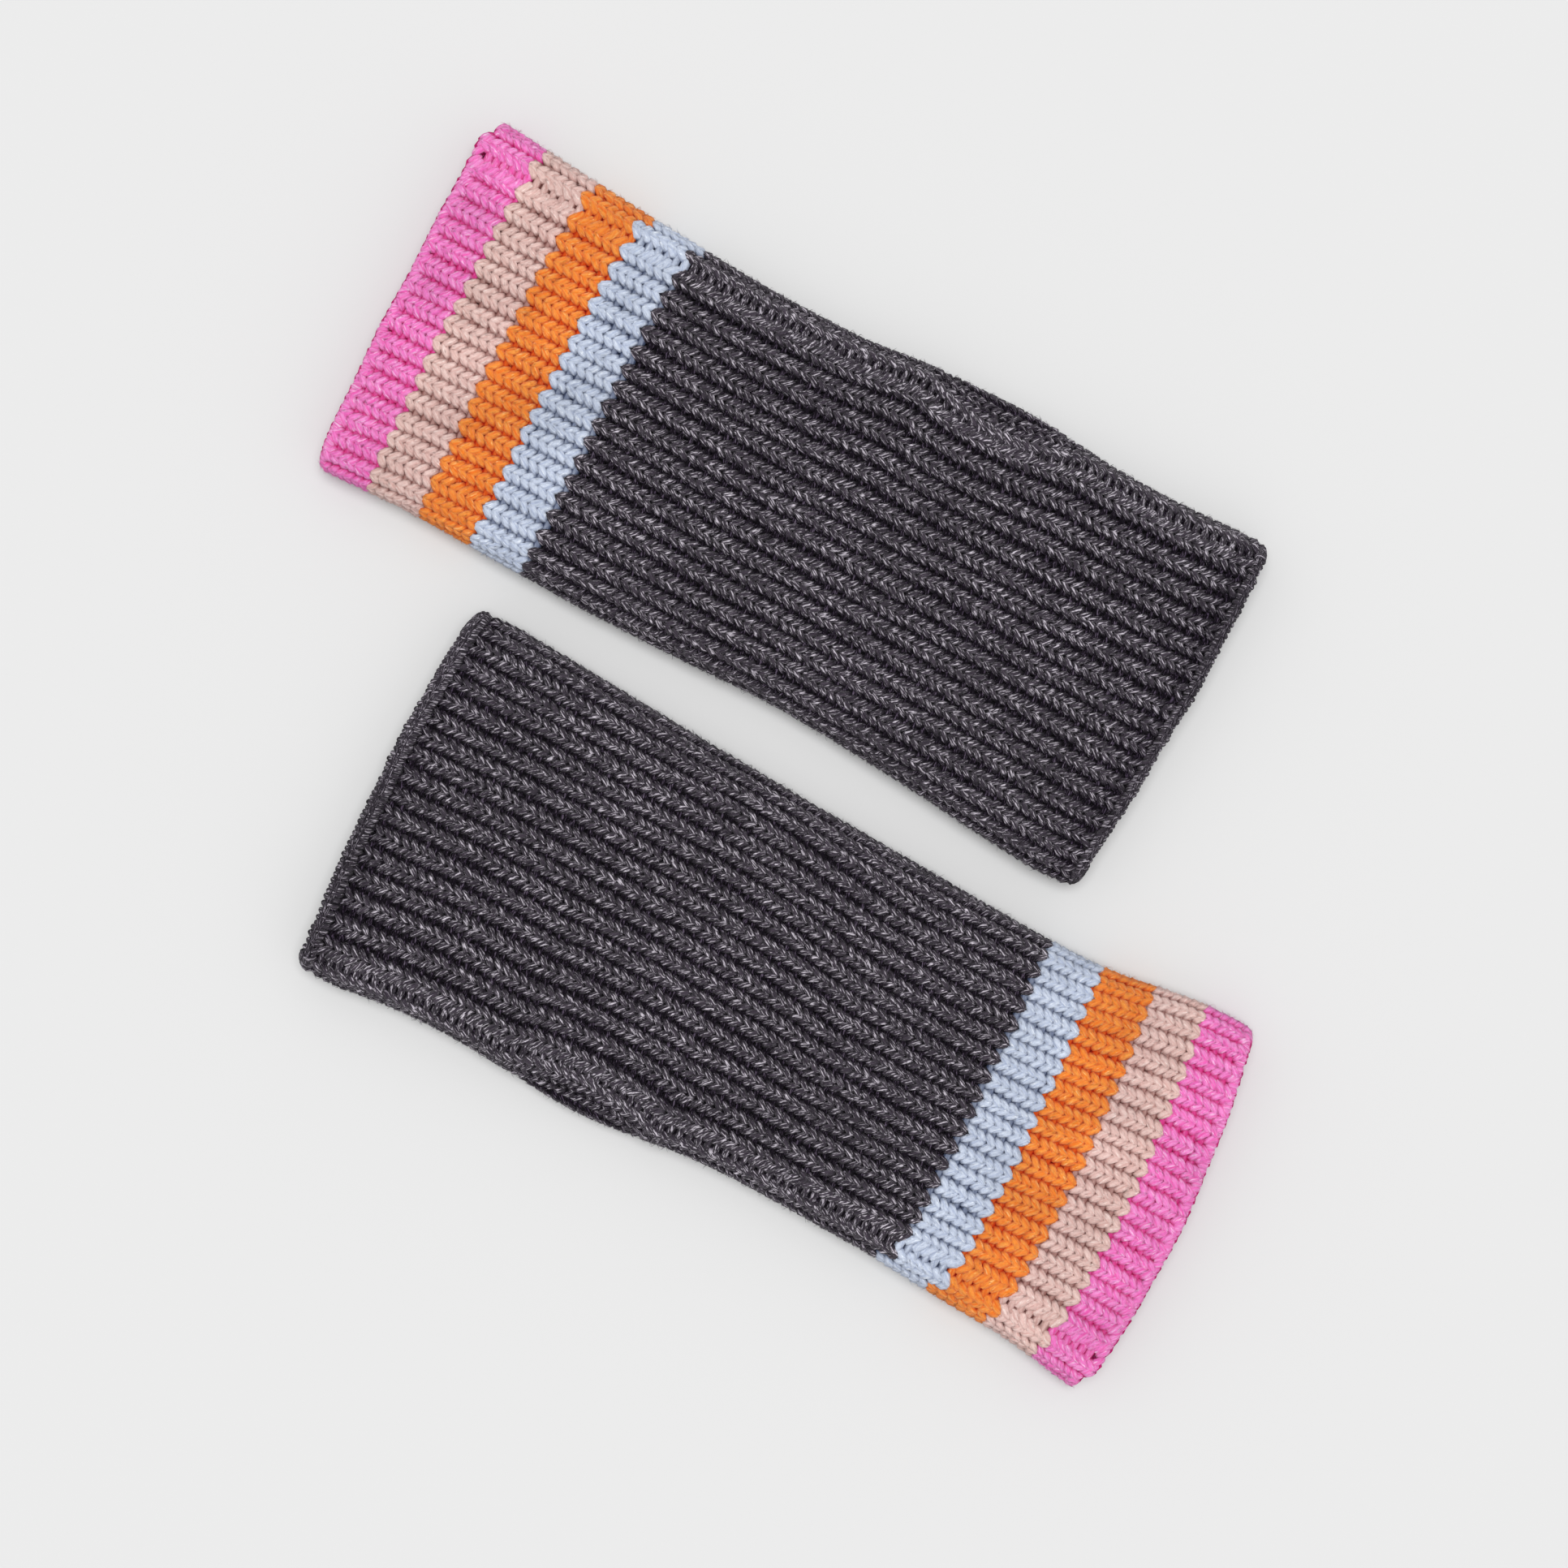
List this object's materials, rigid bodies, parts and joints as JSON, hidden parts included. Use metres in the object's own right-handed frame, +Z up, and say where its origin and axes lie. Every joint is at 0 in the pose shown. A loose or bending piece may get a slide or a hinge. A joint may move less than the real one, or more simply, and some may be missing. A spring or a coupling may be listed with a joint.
{
  "type": "fingerless gloves",
  "caption": "Pair of chunky rib-knit fingerless gloves lying flat, each a seamed tube with a striped cuff, a charcoal hand, a thumb slit and open ends.",
  "frame": {"origin": "centre of the pair's footprint, on the surface they lie on", "axes": "+X along the gloves, from the first glove's cuff towards its finger end; +Y from the second glove to the first; +Z up"},
  "size_m": [0.2662, 0.1982, 0.014],
  "materials": {
    "pink_yarn": "soft wool-blend yarn, hot pink",
    "beige_yarn": "soft wool-blend yarn, blush beige",
    "orange_yarn": "soft wool-blend yarn, orange",
    "blue_yarn": "soft wool-blend yarn, light blue",
    "charcoal_yarn": "soft wool-blend yarn, charcoal heather"
  },
  "bodies": {
    "glove_a": {"charcoal_hand_a": "charcoal_yarn", "bind_off_edge_a": "charcoal_yarn", "wrist_seam_a": "charcoal_yarn", "finger_seam_a": "charcoal_yarn", "slit_tacks_a": "charcoal_yarn"},
    "cuff_a": {"cast_on_edge_a": "pink_yarn", "pink_band_a": "pink_yarn", "beige_band_a": "beige_yarn", "orange_band_a": "orange_yarn", "blue_band_a": "blue_yarn", "cuff_seam_a": "beige_yarn", "yarn_ends_a": "orange_yarn"},
    "glove_b": {"charcoal_hand_b": "charcoal_yarn", "bind_off_edge_b": "charcoal_yarn", "wrist_seam_b": "charcoal_yarn", "finger_seam_b": "charcoal_yarn", "slit_tacks_b": "charcoal_yarn"},
    "cuff_b": {"cast_on_edge_b": "pink_yarn", "pink_band_b": "pink_yarn", "beige_band_b": "beige_yarn", "orange_band_b": "orange_yarn", "blue_band_b": "blue_yarn", "cuff_seam_b": "beige_yarn", "yarn_ends_b": "orange_yarn"}
  },
  "joints": [
    {"name": "cuff_a_fold", "type": "hinge", "parent": "glove_a", "child": "cuff_a", "pos_m": [-0.07718, 0.0515, 0.0143], "axis": [0, 1, 0], "range_deg": [0, 175]},
    {"name": "glove_b_lift", "type": "slide", "parent": "glove_a", "child": "glove_b", "axis": [0, 0, 1], "range_m": [0, 0.15]},
    {"name": "cuff_b_fold", "type": "hinge", "parent": "glove_b", "child": "cuff_b", "pos_m": [0.07718, -0.0511, 0.0143], "axis": [0, -1, 0], "range_deg": [0, 175]}
  ]
}
